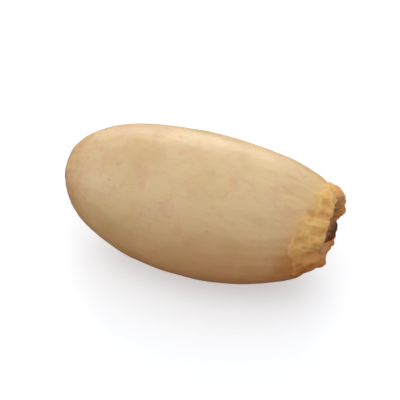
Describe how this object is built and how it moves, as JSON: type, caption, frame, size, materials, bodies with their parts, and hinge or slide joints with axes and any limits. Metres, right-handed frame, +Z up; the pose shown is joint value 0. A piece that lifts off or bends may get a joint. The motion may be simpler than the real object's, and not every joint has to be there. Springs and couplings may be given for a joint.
{
  "type": "pine nut",
  "caption": "Shelled pine nut kernel: an ivory tapered oval with a torn crown and a small dark point at the tip, lying on its belly.",
  "frame": {"origin": "middle of the kernel's bounding box, on the surface it lies on", "axes": "+X along the long axis towards the tip with the torn crown, +Z up, away from the surface"},
  "size_m": [0.012, 0.0064, 0.0059],
  "materials": {
    "kernel_flesh": "satin"
  },
  "bodies": {
    "root": {"pine_nut": "kernel_flesh"}
  },
  "joints": []
}
